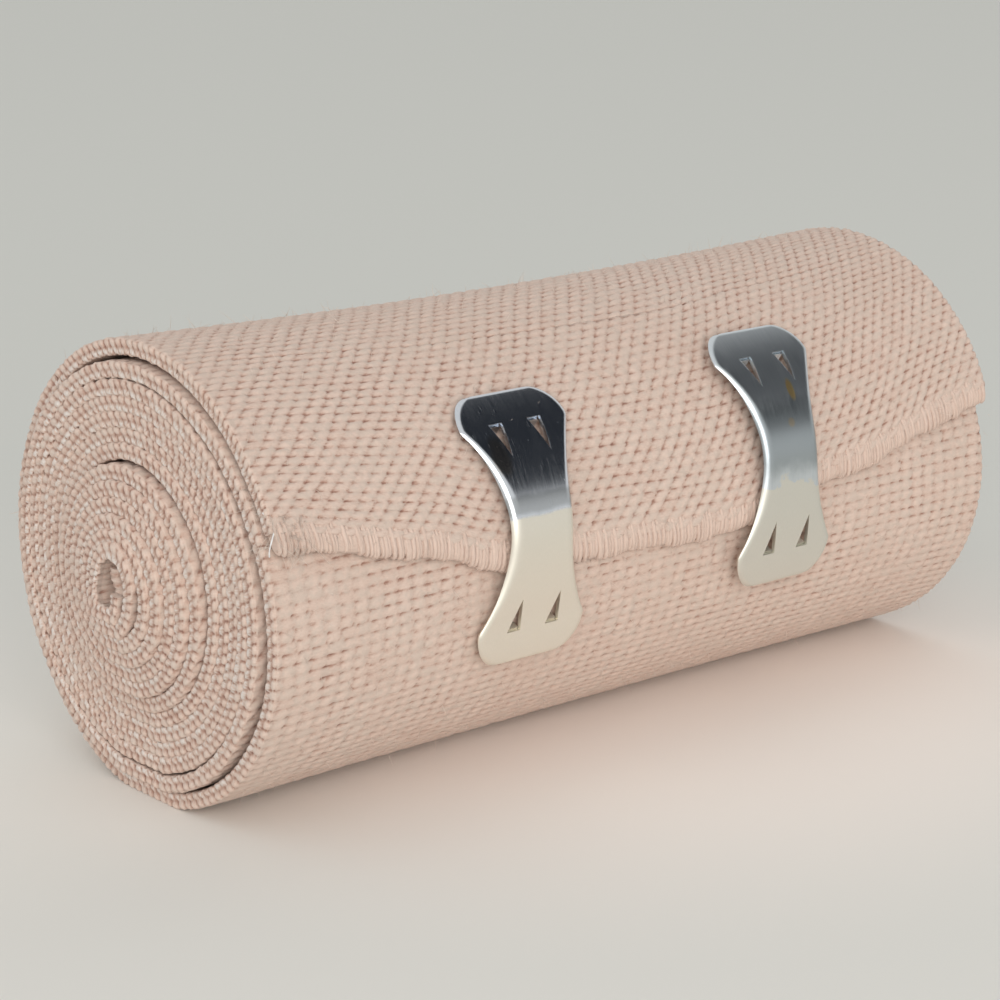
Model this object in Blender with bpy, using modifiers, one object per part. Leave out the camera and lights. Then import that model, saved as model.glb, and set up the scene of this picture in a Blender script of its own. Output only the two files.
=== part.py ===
"""Elastic bandage: one strip of woven elastic cloth wound into a roll, its tail whipped with an
overlock seam and held down by two stamped clips. Metres, +Z up. The roll's axis runs along X, the
tail lies on the front (-Y), and the origin is under the axis, on the flat that the roll rests on."""

import math

import bmesh
import bpy
from mathutils import Vector

# The strip of cloth and the roll that it is wound into
CLOTH_WIDTH = 0.075
CLOTH_THICKNESS = 0.00105
TURN_GAP = 0.00013
ROLL_RADIUS = 0.01826
CORE_RADIUS = 0.0019
WAIST_DEPTH = 0.00074
CORE_FLATTEN = 0.28
CORE_FLATTEN_TURNS = 2.0
FLAT_HALF_ANGLE = 11.0

# The tail: how far its edge lies behind the front of the roll, along the cloth
TAIL_MIDDLE_BACK = 0.0001
TAIL_CORNER_BACK = 0.0075
TAIL_DROP = 0.00015
TAIL_SHARE = 0.33

# The overlock seam along the tail's edge
SEAM_HEIGHT = 0.0025
SEAM_THICKNESS = 0.0011
SEAM_WAVE = 0.00012
SEAM_WAVES = 7

# The stamped clips
CLIP_LENGTH = 0.0217
CLIP_END_WIDTH = 0.0100
CLIP_NECK_WIDTH = 0.0054
CLIP_CORNER_RADIUS = 0.0028
CLIP_THICKNESS = 0.00035
CLIP_RIM_WIDTH = 0.0007
CLIP_RIM_DROP = 0.0002
CLIP_EDGE_GAP = 0.0003
HOLE_END_DISTANCE = 0.00265
HOLE_LENGTH = 0.00275
HOLE_WIDTH = 0.0013
HOLE_SPACING = 0.00374
HOLE_LEAN = 0.00035
TOOTH_LENGTH = 0.0019
TOOTH_BEND = 70.0
POCKET_GAP = 0.0003
SEAM_GAP = 0.0003

# Facets
STEPS_PER_TURN = 36
COLUMNS = 3
TAIL_ROWS = 12
TAIL_CUTS = 3
SEAM_STATIONS = 36
SEAM_SIDES = 10
CLIP_BENDS = 16
CORNER_STEPS = 4
SIDE_STEPS = 10

TURN_PITCH = CLOTH_THICKNESS + TURN_GAP
TURNS = (ROLL_RADIUS - CLOTH_THICKNESS - CORE_RADIUS) / TURN_PITCH
CLIP_STAND = CLIP_EDGE_GAP + CLIP_RIM_DROP

# Columns: turns in from the tail, share of the cloth's width pushed out at the near end
TELESCOPE = (
    (0.0, 0.000),
    (1.6, 0.000),
    (4.0, -0.002),
    (6.3, 0.001),
    (7.2, 0.012),
    (9.0, 0.021),
    (13.0, 0.041),
)

# Columns: turns in from the tail where a turn comes loose, direction in degrees in which it gapes
# most, loosening as a share of the cloth's thickness
SLACK = (
    (1.15, 52.0, 0.30),
    (2.0, 100.0, 0.14),
    (7.0, 40.0, 0.22),
)

# Columns: share of the cloth's width from the near end, share of the way from middle to corner
TAIL_LINE = (
    (0.00, 1.00),
    (0.035, 0.94),
    (0.09, 0.80),
    (0.15, 0.64),
    (0.21, 0.46),
    (0.265, 0.24),
    (0.33, 0.15),
    (0.45, 0.055),
    (0.53, 0.00),
    (0.61, 0.00),
    (0.665, 0.12),
    (0.72, 0.31),
    (0.775, 0.39),
    (0.83, 0.51),
    (0.89, 0.69),
    (0.955, 0.845),
    (1.00, 0.92),
)

# Columns: name, place along the width from the middle, angle of its upper end from the top of the
# roll, lean in degrees, side profile. The profile's columns: share of the clip's length from its
# upper end, height of the plate over the tail turn as a share of the cloth's thickness.
CREASED_SIDE = (
    (0.00, 0.02),
    (0.20, 0.39),
    (0.43, 0.61),
    (0.51, 0.50),
    (0.62, 0.04),
    (0.72, -0.39),
    (0.85, -0.74),
    (1.00, -0.57),
)
BOWED_SIDE = (
    (0.00, 0.09),
    (0.20, 0.42),
    (0.40, 0.53),
    (0.50, 0.42),
    (0.60, 0.11),
    (0.70, -0.24),
    (0.85, -0.53),
    (1.00, -0.48),
)
CLIPS = (
    ("clip_near", -0.0140, 44.9, 0.0, CREASED_SIDE),
    ("clip_far", 0.0123, 41.3, -1.0, BOWED_SIDE),
)


def smooth_through(rows, at):
    """Value at a place in a two-column table, on a smooth curve through its rows."""
    at = min(max(at, rows[0][0]), rows[-1][0])
    i = next(k for k in range(len(rows) - 1) if at <= rows[k + 1][0])
    (x0, y0), (x1, y1) = rows[i], rows[i + 1]
    slope = (y1 - y0) / (x1 - x0)
    before = rows[i - 1] if i > 0 else None
    after = rows[i + 2] if i + 2 < len(rows) else None
    m0 = (y1 - before[1]) / (x1 - before[0]) if before else slope
    m1 = (after[1] - y0) / (after[0] - x0) if after else slope
    t, h = (at - x0) / (x1 - x0), x1 - x0
    return (
        y0 * (1 + 2 * t) * (1 - t) ** 2
        + y1 * t * t * (3 - 2 * t)
        + h * m0 * t * (1 - t) ** 2
        - h * m1 * t * t * (1 - t)
    )


def ease(value):
    """0 to 1 with no corners."""
    value = min(max(value, 0.0), 1.0)
    return value * value * (3 - 2 * value)


def toward(degrees):
    """Unit vector across the roll: 0 is up, 90 is to the front."""
    angle = math.radians(degrees)
    return Vector((0.0, -math.sin(angle), math.cos(angle)))


def turn_radius(turns_in):
    """Outer face of the cloth, as it would lie in a tight and round roll."""
    loosened = sum(share * ease(4 * (turns_in - at) + 1) for at, _, share in SLACK)
    return ROLL_RADIUS - TURN_PITCH * turns_in - CLOTH_THICKNESS * loosened


def turn_centre(turns_in):
    """Centre of a turn: the loose turns leave the ones inside them off the axis."""
    centre = Vector((0.0, 0.0, 0.0))
    for at, gapes, share in SLACK:
        centre -= toward(gapes) * CLOTH_THICKNESS * share * ease(4 * (turns_in - at) + 1)
    return centre


def waist(across, degrees):
    """Share of the radius that is left: the roll is thinner at the middle of its length, but its
    own weight lays the underside flat."""
    off_middle = 2 * across / CLOTH_WIDTH
    under = max(0.0, -math.cos(math.radians(degrees))) ** 4
    return 1 - WAIST_DEPTH / ROLL_RADIUS * (1 - off_middle * off_middle) * (1 - under)


def core_squeeze(turns_in, degrees):
    """The innermost turns are squeezed into a drop rather than a circle."""
    left = TURNS - turns_in
    strength = CORE_FLATTEN * max(0.0, 1 - left / CORE_FLATTEN_TURNS)
    return 1 + strength * math.cos(math.radians(2 * (degrees - 20.0)))


def bottom_level(turns_in, depth):
    """How far below its own centre a turn is stopped by what it rests on."""
    crossing = round(turns_in - 0.75) + 0.75
    return (turn_radius(crossing) - depth) * math.cos(math.radians(FLAT_HALF_ANGLE))


AXIS_HEIGHT = bottom_level(0.75, 0.0)


def wind(turns_in, across, depth):
    """Point of the wound cloth: turns in from the front, place across the width, depth below
    its outer face."""
    degrees = 90.0 - 360.0 * turns_in
    settled = TAIL_DROP * ease(1 - turns_in / TAIL_SHARE)
    radius = turn_radius(turns_in) - settled - depth
    radius *= waist(across, degrees) * core_squeeze(turns_in, degrees)
    point = toward(degrees) * radius
    point.z = max(point.z, -bottom_level(turns_in, depth))
    point += turn_centre(turns_in)
    pushed_out = smooth_through(TELESCOPE, turns_in) * CLOTH_WIDTH
    return point + Vector((across - pushed_out, 0.0, AXIS_HEIGHT))


def tail_back(across):
    """How far the tail's seam lies behind the front of the roll, as a share of a turn."""
    share = smooth_through(TAIL_LINE, across / CLOTH_WIDTH + 0.5)
    length = TAIL_MIDDLE_BACK + (TAIL_CORNER_BACK - TAIL_MIDDLE_BACK) * share
    return length / (2 * math.pi * ROLL_RADIUS)


def paint(name, colour, roughness, metallic):
    """Plain material with the colour and gloss of a piece."""
    material = bpy.data.materials.new(name)
    material.use_nodes = True
    shader = material.node_tree.nodes["Principled BSDF"]
    shader.inputs["Base Color"].default_value = (*colour, 1.0)
    shader.inputs["Roughness"].default_value = roughness
    shader.inputs["Metallic"].default_value = metallic
    material.diffuse_color = (*colour, 1.0)
    return material


def finish_piece(name, mesh, material, collection):
    """Put a mesh in the scene as one named piece, smooth where it is round."""
    piece = bpy.data.objects.new(name, mesh)
    collection.objects.link(piece)
    mesh.materials.append(material)
    mesh.shade_smooth()
    mesh.set_sharp_from_angle(angle=math.radians(35))
    return piece


def to_mesh(shape, name):
    """Turn a closed bmesh into a mesh whose faces point out."""
    if shape.calc_volume(signed=True) < 0:
        bmesh.ops.reverse_faces(shape, faces=shape.faces)
    mesh = bpy.data.meshes.new(name)
    shape.to_mesh(mesh)
    shape.free()
    return mesh


def flat_cloth():
    """The strip before it is wound: x across, y in turns from the front, z through the cloth."""
    rows = int(TURNS * STEPS_PER_TURN)
    shape = bmesh.new()
    bmesh.ops.create_grid(shape, x_segments=COLUMNS, y_segments=rows, size=0.5)
    for vert in shape.verts:
        vert.co.x *= CLOTH_WIDTH
        vert.co.y = (vert.co.y + 0.5) * rows / STEPS_PER_TURN
    last = (TAIL_ROWS + 0.5) / STEPS_PER_TURN
    crossing = [
        edge
        for edge in shape.edges
        if abs(edge.verts[0].co.y - edge.verts[1].co.y) < 1e-6 and edge.verts[0].co.y < last
    ]
    bmesh.ops.subdivide_edges(shape, edges=crossing, cuts=TAIL_CUTS, use_grid_fill=True)
    top = bmesh.ops.extrude_face_region(shape, geom=shape.faces[:])
    for item in top["geom"]:
        if isinstance(item, bmesh.types.BMVert):
            item.co.z = CLOTH_THICKNESS
    return shape


def bandage_roll(material, collection):
    """The wound strip, one solid from its core to the edge that the seam closes."""
    shape = flat_cloth()
    trimmed = (SEAM_HEIGHT / 2 + SEAM_GAP) / (2 * math.pi * ROLL_RADIUS)
    for vert in shape.verts:
        across, turns_in, depth = vert.co
        near_tail = max(0.0, 1 - turns_in / TAIL_SHARE) ** 2
        turns_in += (tail_back(across) + trimmed) * near_tail
        vert.co = wind(turns_in, across, depth)
    return finish_piece("bandage_roll", to_mesh(shape, "bandage_roll"), material, collection)


def overlock_seam(material, collection):
    """The wrapped edge: an oval bead along the tail, a little wavy on its free side."""
    shape = bmesh.new()
    bmesh.ops.create_cone(
        shape, cap_ends=True, segments=SEAM_SIDES, radius1=1.0, radius2=1.0, depth=CLOTH_WIDTH
    )
    for station in range(1, SEAM_STATIONS):
        cut = CLOTH_WIDTH * (station / SEAM_STATIONS - 0.5)
        bmesh.ops.bisect_plane(
            shape,
            geom=shape.verts[:] + shape.edges[:] + shape.faces[:],
            plane_co=(0, 0, cut),
            plane_no=(0, 0, 1),
        )
    girth = 2 * math.pi * ROLL_RADIUS
    for vert in shape.verts:
        up, out, across = vert.co
        wave = SEAM_WAVE * math.sin(2 * math.pi * SEAM_WAVES * across / CLOTH_WIDTH)
        behind = up * SEAM_HEIGHT / 2 + wave * (1 - up) / 2
        turns_in = tail_back(across) + behind / girth
        depth = CLOTH_THICKNESS / 2 - out * SEAM_THICKNESS / 2
        vert.co = wind(turns_in, across, depth)
    return finish_piece("overlock_seam", to_mesh(shape, "overlock_seam"), material, collection)


class ClipPlate:
    """Where one clip lies: flat coordinates on the plate to points in space."""

    def __init__(self, across, top_angle, lean, side):
        self.across, self.lean, self.side = across, math.radians(lean), side
        self.base = (ROLL_RADIUS - TAIL_DROP) * waist(across, top_angle)
        self.angles = self.even_steps(top_angle)

    def radius(self, share):
        return self.base + CLIP_STAND + CLOTH_THICKNESS * smooth_through(self.side, share)

    def even_steps(self, top_angle):
        """Angle at each step of equal length along the bowed plate."""
        steps, angle, angles = 120, math.radians(top_angle), []
        for i in range(steps + 1):
            angles.append(angle)
            here = self.radius(i / steps)
            rise = self.radius(min(1.0, (i + 1) / steps)) - here
            step = math.sqrt(max(1e-12, (CLIP_LENGTH / steps) ** 2 - rise * rise))
            angle += step / here
        return angles

    def on_sheet(self, share):
        """Point of the plate's midline, in the plane across the roll."""
        place = min(max(share, 0.0), 1.0) * (len(self.angles) - 1)
        i = min(int(place), len(self.angles) - 2)
        angle = self.angles[i] + (self.angles[i + 1] - self.angles[i]) * (place - i)
        return toward(math.degrees(angle)) * self.radius(share)

    def down(self, share):
        """Direction along the plate, from its upper end to its lower end."""
        return (self.on_sheet(share + 0.01) - self.on_sheet(share - 0.01)).normalized()

    def point(self, side, along, height):
        """Place of a point: to the side of the midline, along the plate, above its sheet."""
        share = along / CLIP_LENGTH
        down = self.down(min(max(share, 0.01), 0.99))
        above = Vector((1, 0, 0)).cross(down) * -1
        across = self.across + side + math.tan(self.lean) * (along - CLIP_LENGTH / 2)
        centre = Vector((across, 0.0, AXIS_HEIGHT))
        return centre + self.on_sheet(share) + above * height

    def tooth_line(self, side, base, inward):
        """Root and tip of a tooth, which bends down at the outer end of its hole."""
        bend = math.radians(TOOTH_BEND)
        root = self.point(side, base, 0.0)
        down = self.down(base / CLIP_LENGTH)
        below = Vector((1, 0, 0)).cross(down)
        tip = root + down * inward * TOOTH_LENGTH * math.cos(bend)
        return root, tip + below * TOOTH_LENGTH * math.sin(bend)


def half_width(along):
    """Half the width of the plate: wide at its ends, narrow at its neck."""
    half = CLIP_LENGTH / 2
    off_neck = min(1.0, abs(along - half) / (half - CLIP_CORNER_RADIUS))
    return (CLIP_NECK_WIDTH + (CLIP_END_WIDTH - CLIP_NECK_WIDTH) * off_neck**2.2) / 2


def clip_outline(inset=0.0):
    """Outline of the plate, laid flat: side, along. One side runs down, the other is its mirror.
    An inset gives the line at that distance inside the border."""
    radius, run = CLIP_CORNER_RADIUS, CLIP_LENGTH - 2 * CLIP_CORNER_RADIUS
    middle = CLIP_END_WIDTH / 2 - radius
    side = []
    for i in range(CORNER_STEPS + 1):
        turn = math.pi / 2 * i / CORNER_STEPS
        reach = radius - inset
        side.append((middle + reach * math.sin(turn), radius - reach * math.cos(turn)))
    upper = side[:]
    for i in range(1, SIDE_STEPS):
        along = radius + run * i / SIDE_STEPS
        side.append((half_width(along) - inset, along))
    side += [(across, CLIP_LENGTH - along) for across, along in reversed(upper)]
    return side + [(-across, along) for across, along in reversed(side)]


def hole_places():
    """Each hole: its midline, where its wide end lies, and which way its point lies from there."""
    for base, inward in ((HOLE_END_DISTANCE, 1), (CLIP_LENGTH - HOLE_END_DISTANCE, -1)):
        for side in (-HOLE_SPACING / 2, HOLE_SPACING / 2):
            yield side, base, inward


def hole_outline(side, base, inward):
    """Triangle that the tooth was cut from."""
    tip = (side + HOLE_LEAN, base + inward * HOLE_LENGTH)
    return [(side - HOLE_WIDTH / 2, base), (side + HOLE_WIDTH / 2, base), tip]


def fill_flat(shape, outlines):
    """Add the area between flat outlines to a bmesh."""
    curve = bpy.data.curves.new("plate_outline", "CURVE")
    curve.dimensions, curve.fill_mode = "2D", "BOTH"
    for outline in outlines:
        spline = curve.splines.new("POLY")
        spline.points.add(len(outline) - 1)
        for point, (side, along) in zip(spline.points, outline):
            point.co = (side, along, 0.0, 1.0)
        spline.use_cyclic_u = True
    holder = bpy.data.objects.new("plate_outline", curve)
    bpy.context.scene.collection.objects.link(holder)
    evaluated = holder.evaluated_get(bpy.context.evaluated_depsgraph_get())
    filled = bpy.data.meshes.new_from_object(evaluated)
    shape.from_mesh(filled)
    bpy.data.objects.remove(holder)
    bpy.data.meshes.remove(filled)


def flat_plate():
    """The plate laid flat: its rim and the area inside it with four holes, cut into strips that
    can bend. Its faces look down here, and away from the roll once the plate is bent over it."""
    shape = bmesh.new()
    rim_line = clip_outline(CLIP_RIM_WIDTH)
    fill_flat(shape, [clip_outline(), rim_line])
    fill_flat(shape, [rim_line] + [hole_outline(*place) for place in hole_places()])
    bmesh.ops.remove_doubles(shape, verts=shape.verts, dist=1e-6)
    for i in range(1, CLIP_BENDS):
        bmesh.ops.bisect_plane(
            shape,
            geom=shape.verts[:] + shape.edges[:] + shape.faces[:],
            plane_co=(0, CLIP_LENGTH * i / CLIP_BENDS, 0),
            plane_no=(0, 1, 0),
            dist=2e-5,
        )
    bmesh.ops.dissolve_degenerate(shape, edges=shape.edges, dist=1e-6)
    bmesh.ops.recalc_face_normals(shape, faces=shape.faces)
    if max(shape.faces, key=lambda face: face.calc_area()).normal.z > 0:
        bmesh.ops.reverse_faces(shape, faces=shape.faces)
    return shape


def rim_drop(side, along):
    """The plate's border is pressed down a little all round, over the width of its rim."""
    inside = min(half_width(along) - abs(side), along, CLIP_LENGTH - along)
    return CLIP_RIM_DROP * (1 - ease(inside / CLIP_RIM_WIDTH))


def clip(name, plate, material, collection):
    """One stamped plate with its four teeth, bent over the roll."""
    shape = flat_plate()
    roots = {}
    for side, base, inward in hole_places():
        corners = [Vector((*corner, 0)) for corner in hole_outline(side, base, inward)[:2]]
        ends = [min(shape.verts, key=lambda vert: (vert.co - at).length) for at in corners]
        roots[side, base, inward] = shape.edges.get(ends)
    for vert in shape.verts:
        side, along, _ = vert.co
        vert.co = plate.point(side, along, -rim_drop(side, along))
    for place, root in roots.items():
        border = root.link_loops[0]
        tip = shape.verts.new(plate.tooth_line(*place)[1])
        shape.faces.new([border.link_loop_next.vert, border.vert, tip])
    mesh = bpy.data.meshes.new(name)
    shape.to_mesh(mesh)
    shape.free()
    piece = finish_piece(name, mesh, material, collection)
    wall = piece.modifiers.new("plate_thickness", "SOLIDIFY")
    wall.thickness = CLIP_THICKNESS
    wall.offset = 1.0
    wall.use_even_offset = True
    return piece


def pockets(plates, collection):
    """What the teeth push aside in the cloth: one block round each tooth."""
    shape = bmesh.new()
    for plate in plates:
        for side, base, inward in hole_places():
            root, tip = plate.tooth_line(side, base, inward)
            axis = (tip - root).normalized()
            wide = Vector((1, 0, 0))
            thick = axis.cross(wide)
            size = (
                HOLE_WIDTH + 2 * POCKET_GAP,
                CLIP_THICKNESS + 2 * POCKET_GAP,
                TOOTH_LENGTH + POCKET_GAP,
            )
            middle = root + axis * size[2] / 2 + thick * inward * CLIP_THICKNESS / 2
            block = bmesh.ops.create_cube(shape, size=1.0)
            for vert in block["verts"]:
                x, y, z = vert.co
                vert.co = middle + wide * x * size[0] + thick * y * size[1] + axis * z * size[2]
    cutter = bpy.data.objects.new("tooth_pockets", to_mesh(shape, "tooth_pockets"))
    collection.objects.link(cutter)
    cutter.hide_render = True
    cutter.display_type = "WIRE"
    return cutter


def main():
    for old in list(bpy.data.objects):
        bpy.data.objects.remove(old)
    parts = bpy.data.collections.new("elastic_bandage")
    cutters = bpy.data.collections.new("cutters")
    bpy.context.scene.collection.children.link(parts)
    bpy.context.scene.collection.children.link(cutters)

    cloth = paint("woven_cloth", (0.60, 0.45, 0.37), 0.95, 0.0)
    thread = paint("overlock_thread", (0.66, 0.50, 0.42), 0.9, 0.0)
    metal = paint("aluminium", (0.80, 0.79, 0.76), 0.3, 1.0)

    roll = bandage_roll(cloth, parts)
    overlock_seam(thread, parts)
    plates = [ClipPlate(*place) for _, *place in CLIPS]
    for (name, *_), plate in zip(CLIPS, plates):
        clip(name, plate, metal, parts)

    cut = roll.modifiers.new("tooth_pockets", "BOOLEAN")
    cut.operation = "DIFFERENCE"
    cut.object = pockets(plates, cutters)


main()
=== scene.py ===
import math
import random

import bpy
import numpy as np
from mathutils import Matrix, Vector


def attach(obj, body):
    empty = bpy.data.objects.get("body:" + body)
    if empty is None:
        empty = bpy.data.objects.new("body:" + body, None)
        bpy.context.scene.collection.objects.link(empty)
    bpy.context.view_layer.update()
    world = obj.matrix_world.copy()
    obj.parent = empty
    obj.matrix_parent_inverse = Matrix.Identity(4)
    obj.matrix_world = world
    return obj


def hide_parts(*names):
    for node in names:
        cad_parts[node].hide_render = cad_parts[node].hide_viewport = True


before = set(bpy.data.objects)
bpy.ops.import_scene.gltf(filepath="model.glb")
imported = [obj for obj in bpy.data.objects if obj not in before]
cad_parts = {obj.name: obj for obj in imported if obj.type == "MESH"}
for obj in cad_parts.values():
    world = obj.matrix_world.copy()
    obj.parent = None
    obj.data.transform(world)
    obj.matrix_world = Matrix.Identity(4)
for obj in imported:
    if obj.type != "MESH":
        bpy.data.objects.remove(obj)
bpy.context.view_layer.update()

scene = bpy.context.scene

# The roll: the solids' own spiral, with its turns and gaps moved by less than a millimetre
roll = dict(
    width=0.075,
    thickness=0.00105,
    gap=0.00013,
    radius=0.01826,
    core=0.0019,
    waist=0.00074,
    coreFlatten=0.28,
    coreFlattenTurns=2.0,
    flatHalfAngle=11.0,
    tailMiddleBack=0.0007,
    tailCornerBack=0.0075,
    tailDrop=0.00015,
    tailShare=0.33,
    # turns in, share of the width that is pushed out at the near end
    telescope=((0, 0), (0.9, 0), (1.2, 0.006), (4, 0.005), (6.3, 0.008), (7.2, 0.017), (9, 0.024), (13, 0.041)),
    # turns in, direction in which the turn gapes, share of the thickness
    slack=((1.15, 52.0, 0.30), (2.0, 100.0, 0.18), (7.0, 40.0, 0.18)),
    # share of the width, share of the way from middle to corner
    tailLine=(
        (0.00, 1.00), (0.035, 0.94), (0.09, 0.80), (0.15, 0.64), (0.21, 0.46), (0.265, 0.24),
        (0.33, 0.15), (0.45, 0.055), (0.53, 0.00), (0.61, 0.00), (0.665, 0.12), (0.72, 0.31),
        (0.775, 0.39), (0.83, 0.51), (0.89, 0.69), (0.955, 0.845), (1.00, 0.92),
    ),
)
pitch = roll["thickness"] + roll["gap"]
turns = (roll["radius"] - roll["thickness"] - roll["core"]) / pitch
girth = 2 * math.pi * roll["radius"]


def smoothThrough(rows, at):
    x, y = np.array(rows, float).T
    at = np.clip(at, x[0], x[-1])
    i = np.clip(np.searchsorted(x, at) - 1, 0, len(x) - 2)
    slope = np.diff(y) / np.diff(x)
    m = np.concatenate(([slope[0]], (y[2:] - y[:-2]) / (x[2:] - x[:-2]), [slope[-1]]))
    h = x[i + 1] - x[i]
    t = (at - x[i]) / h
    start, end = y[i] * (1 + 2 * t) * (1 - t) ** 2, y[i + 1] * t * t * (3 - 2 * t)
    return start + end + h * m[i] * t * (1 - t) ** 2 - h * m[i + 1] * t * t * (1 - t)


def ease(value):
    value = np.clip(value, 0.0, 1.0)
    return value * value * (3 - 2 * value)


def turnRadius(turnsIn):
    loosened = sum(share * ease(4 * (turnsIn - at) + 1) for at, _, share in roll["slack"])
    return roll["radius"] - pitch * turnsIn - roll["thickness"] * loosened


def bottomLevel(turnsIn, depth):
    crossing = np.round(turnsIn - 0.75) + 0.75
    return (turnRadius(crossing) - depth) * math.cos(math.radians(roll["flatHalfAngle"]))


axisHeight = float(bottomLevel(0.75, 0.0))


def waistShare(across, angle):
    offMiddle = 2 * across / roll["width"]
    under = np.maximum(0.0, -np.cos(angle)) ** 4
    return 1 - roll["waist"] / roll["radius"] * (1 - offMiddle**2) * (1 - under)


def wind(turnsIn, across, depth):  # turns in from the front, place across, depth under the face
    angle = np.radians(90 - 360 * turnsIn)
    left = turns - turnsIn
    flat = roll["coreFlatten"] * np.maximum(0.0, 1 - left / roll["coreFlattenTurns"])
    squeeze = 1 + flat * np.cos(2 * (angle - math.radians(20)))
    settled = roll["tailDrop"] * ease(1 - turnsIn / roll["tailShare"])
    radius = (turnRadius(turnsIn) - settled - depth) * waistShare(across, angle) * squeeze
    y, z = -np.sin(angle) * radius, np.cos(angle) * radius
    z = np.maximum(z, -bottomLevel(turnsIn, depth))
    for at, gapes, share in roll["slack"]:
        off = roll["thickness"] * share * ease(4 * (turnsIn - at) + 1)
        y = y + math.sin(math.radians(gapes)) * off
        z = z - math.cos(math.radians(gapes)) * off
    x = across - smoothThrough(roll["telescope"], turnsIn) * roll["width"]
    return np.stack(np.broadcast_arrays(x, y, z + axisHeight), axis=-1)


def tailBack(across):
    share = smoothThrough(roll["tailLine"], across / roll["width"] + 0.5)
    return (roll["tailMiddleBack"] + (roll["tailCornerBack"] - roll["tailMiddleBack"]) * share) / girth


# The camera, where the photograph was taken from
camera = dict(
    place=(-0.147776, -0.1709155, 0.0766088),
    forward=(0.6253, 0.7370, -0.2565),
    up=(0.1682, 0.1937, 0.9665),
    lens=102.244,
)


def addCamera():
    data = bpy.data.cameras.new("camera")
    data.lens, data.sensor_width, data.clip_start, data.clip_end = camera["lens"], 36, 0.01, 20
    holder = bpy.data.objects.new("camera", data)
    scene.collection.objects.link(holder)
    back = -Vector(camera["forward"]).normalized()
    right = Vector(camera["up"]).cross(back).normalized()
    up = back.cross(right)
    turn = Matrix((right, up, back)).transposed().to_4x4()
    holder.matrix_world = Matrix.Translation(camera["place"]) @ turn
    scene.camera = holder
    scene.view_settings.view_transform = "Standard"


addCamera()
print("camera set")


class Wire:  # a socket that sums can be written with
    def __init__(self, finish, socket):
        self.finish, self.socket = finish, socket

    def maths(self, operation, *values):
        return self.finish.node("ShaderNodeMath", dict(operation=operation), dict(enumerate(values)))

    def __add__(self, other):
        return self.maths("ADD", self, other)

    def __mul__(self, other):
        return self.maths("MULTIPLY", self, other)

    def __sub__(self, other):
        return self.maths("SUBTRACT", self, other)

    def __rsub__(self, other):
        return self.maths("SUBTRACT", other, self)

    def __truediv__(self, other):
        return self.maths("DIVIDE", self, other)

    __radd__, __rmul__ = __add__, __mul__


class Finish:  # one material and its nodes
    def __init__(self, name, **constants):
        self.material = bpy.data.materials.new(name)
        self.material.use_nodes = True
        self.tree = self.material.node_tree
        self.shader = self.tree.nodes["Principled BSDF"]
        for socket, value in constants.items():
            self.shader.inputs[socket.replace("_", " ")].default_value = value

    def node(self, kind, settings=None, sockets=None, output=0):
        made = self.tree.nodes.new(kind)
        for name, value in (settings or {}).items():
            if name == "stops":
                ramp = made.color_ramp
                while len(ramp.elements) < len(value):
                    ramp.elements.new(0.5)
                for stop, (place, colour) in zip(ramp.elements, value):
                    stop.position = place
                    stop.color = (*colour, 1) if hasattr(colour, "__len__") else (colour,) * 3 + (1,)
            else:
                setattr(made, name, value)
        for name, value in (sockets or {}).items():
            if isinstance(value, Wire):
                self.tree.links.new(value.socket, made.inputs[name])
            else:
                made.inputs[name].default_value = value
        return Wire(self, made.outputs[output])

    def attribute(self, name, output="Fac"):
        return self.node("ShaderNodeAttribute", dict(attribute_name=name), output=output)

    def ramp(self, value, *stops):
        return self.node("ShaderNodeValToRGB", dict(stops=stops), {"Fac": value}, "Color")

    def noise(self, vector, scale, detail=2.0, stretch=(1, 1, 1)):
        placed = self.node("ShaderNodeMapping", None, {"Vector": vector, "Scale": stretch})
        return self.node("ShaderNodeTexNoise", None, {"Vector": placed, "Scale": scale, "Detail": detail})

    def mix(self, share, first, second):
        return self.node("ShaderNodeMix", dict(data_type="RGBA"), {0: share, 6: first, 7: second}, 2)

    def range(self, value, low, high, start=0.0, end=1.0):
        settings = dict(interpolation_type="SMOOTHSTEP")
        return self.node("ShaderNodeMapRange", settings, {0: value, 1: low, 2: high, 3: start, 4: end})

    def feed(self, **sockets):
        for name, wire in sockets.items():
            self.tree.links.new(wire.socket, self.shader.inputs[name.replace("_", " ")])
        return self.material


# The woven cloth: rows of lumps, each a thread's crossing
cloth = dict(
    cell=0.00135,  # along the axis
    row=0.00088,  # along the strip
    thickness=0.00121,
    relief=0.00025,
    skew=0.30,  # how far a lump's ends lean, in cells
    staggered=(60.0, 92.0),  # rows where the brick pattern turns into a grid
    brickAgain=(150.0, 170.0),  # and where it turns back
    level=0.72,  # the relief that lies at the plain face
    plainInside=0.003,  # the inner face has lumps only this near its edges
    ragged=0.00009,  # how far the edges wander
    edgeDepth=0.00022,
    square=0.55,
    seamOverlap=0.0002,
    tailReach=0.45,  # turns over which the tail's bow dies out
    floorGap=0.00002,
    edgeSteps=12,
    rough=0.20,  # loose fibres, as a share of the relief
    # the gap and shade colours are painted shade in the grooves and pits, and the top colour is painted light
    # on the lumps' tops
    paintedGapShade=(0.30, 0.155, 0.115),
    paintedShadeColour=(0.48, 0.300, 0.235),
    lumpColour=(0.65, 0.485, 0.405),
    paintedLitTopColour=(0.73, 0.570, 0.485),
    greyColour=(0.59, 0.500, 0.430),
    paleColour=(0.74, 0.700, 0.670),
    patchColour=(0.62, 0.455, 0.365),
)


def scramble(column, row, seed):  # an even random number for each lump
    value = np.sin(column * 127.1 + row * 311.7 + seed * 74.7) * 43758.5453
    return value - np.floor(value)


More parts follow.
